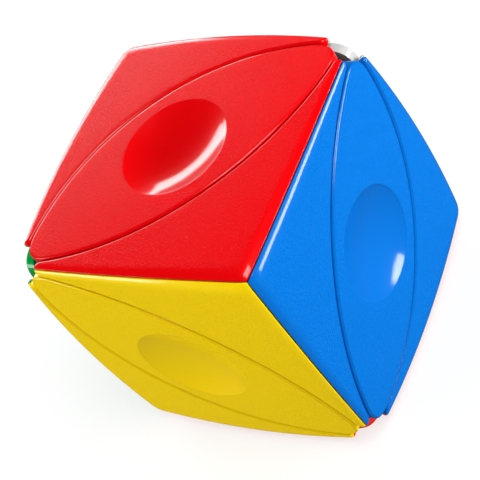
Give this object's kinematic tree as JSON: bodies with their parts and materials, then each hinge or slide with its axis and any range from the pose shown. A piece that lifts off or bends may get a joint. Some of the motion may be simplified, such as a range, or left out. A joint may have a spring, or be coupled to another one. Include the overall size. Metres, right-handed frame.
{
  "type": "corner-turning cube puzzle",
  "caption": "Pillowed cube twisty puzzle whose alternate corners turn, with a dished, leaf-shaped centre piece in each coloured face.",
  "frame": {"origin": "centre of the cube, where the turning axes meet", "axes": "+Z out of the middle of the red face (top), -Y out of the yellow face (front), +X out of the blue face (right)"},
  "size_m": [0.0566, 0.0566, 0.0566],
  "materials": {
    "red_plastic": "satin, fine speckle",
    "orange_plastic": "satin, fine speckle",
    "blue_plastic": "satin, fine speckle",
    "green_plastic": "satin, fine speckle",
    "white_plastic": "satin, fine speckle",
    "yellow_plastic": "satin, fine speckle",
    "dark_plastic": "matte moulded",
    "steel": "plated"
  },
  "bodies": {
    "core": {"hub": "dark_plastic", "screw_a": "steel", "screw_b": "steel", "screw_c": "steel", "screw_d": "steel", "washer_a": "steel", "washer_b": "steel", "washer_c": "steel", "washer_d": "steel", "spring_a": "steel", "spring_b": "steel", "spring_c": "steel", "spring_d": "steel"},
    "corner_a": {"frame_a": "dark_plastic", "tile_a_red": "red_plastic", "tile_a_blue": "blue_plastic", "tile_a_yellow": "yellow_plastic"},
    "corner_b": {"frame_b": "dark_plastic", "tile_b_orange": "orange_plastic", "tile_b_green": "green_plastic", "tile_b_yellow": "yellow_plastic"},
    "corner_c": {"frame_c": "dark_plastic", "tile_c_orange": "orange_plastic", "tile_c_blue": "blue_plastic", "tile_c_white": "white_plastic"},
    "corner_d": {"frame_d": "dark_plastic", "tile_d_red": "red_plastic", "tile_d_green": "green_plastic", "tile_d_white": "white_plastic"},
    "leaf_red": {"leaf_foot_red": "dark_plastic", "leaf_cap_red": "red_plastic"},
    "leaf_orange": {"leaf_foot_orange": "dark_plastic", "leaf_cap_orange": "orange_plastic"},
    "leaf_blue": {"leaf_foot_blue": "dark_plastic", "leaf_cap_blue": "blue_plastic"},
    "leaf_green": {"leaf_foot_green": "dark_plastic", "leaf_cap_green": "green_plastic"},
    "leaf_white": {"leaf_foot_white": "dark_plastic", "leaf_cap_white": "white_plastic"},
    "leaf_yellow": {"leaf_foot_yellow": "dark_plastic", "leaf_cap_yellow": "yellow_plastic"}
  },
  "joints": [
    {"name": "turn_a", "type": "hinge", "parent": "core", "child": "corner_a", "pos_m": [0, 0, 0], "axis": [0.5774, -0.5774, 0.5774], "range_deg": [-240, 120]},
    {"name": "turn_b", "type": "hinge", "parent": "core", "child": "corner_b", "pos_m": [0, 0, 0], "axis": [-0.5774, -0.5774, -0.5774], "range_deg": [-240, 120]},
    {"name": "turn_c", "type": "hinge", "parent": "core", "child": "corner_c", "pos_m": [0, 0, 0], "axis": [0.5774, 0.5774, -0.5774], "range_deg": [-240, 120]},
    {"name": "turn_d", "type": "hinge", "parent": "core", "child": "corner_d", "pos_m": [0, 0, 0], "axis": [-0.5774, 0.5774, 0.5774], "range_deg": [-240, 120]},
    {"name": "leaf_yellow_turn", "type": "hinge", "parent": "corner_a", "child": "leaf_yellow", "pos_m": [0, 0, 0], "axis": [-0.5774, -0.5774, -0.5774], "range_deg": [-240, 120]},
    {"name": "leaf_blue_turn", "type": "hinge", "parent": "corner_a", "child": "leaf_blue", "pos_m": [0, 0, 0], "axis": [0.5774, 0.5774, -0.5774], "range_deg": [-240, 120]},
    {"name": "leaf_red_turn", "type": "hinge", "parent": "corner_a", "child": "leaf_red", "pos_m": [0, 0, 0], "axis": [-0.5774, 0.5774, 0.5774], "range_deg": [-240, 120]},
    {"name": "leaf_orange_turn", "type": "hinge", "parent": "corner_b", "child": "leaf_orange", "pos_m": [0, 0, 0], "axis": [0.5774, 0.5774, -0.5774], "range_deg": [-240, 120]},
    {"name": "leaf_green_turn", "type": "hinge", "parent": "corner_d", "child": "leaf_green", "pos_m": [0, 0, 0], "axis": [-0.5774, -0.5774, -0.5774], "range_deg": [-240, 120]},
    {"name": "leaf_white_turn", "type": "hinge", "parent": "corner_c", "child": "leaf_white", "pos_m": [0, 0, 0], "axis": [-0.5774, 0.5774, 0.5774], "range_deg": [-240, 120]}
  ],
  "couplings": [
    {"joint": "leaf_yellow_turn", "follows": "turn_b", "ratio": 1},
    {"joint": "leaf_blue_turn", "follows": "turn_c", "ratio": 1},
    {"joint": "leaf_red_turn", "follows": "turn_d", "ratio": 1},
    {"joint": "leaf_orange_turn", "follows": "turn_c", "ratio": 1},
    {"joint": "leaf_green_turn", "follows": "turn_b", "ratio": 1},
    {"joint": "leaf_white_turn", "follows": "turn_d", "ratio": 1}
  ]
}
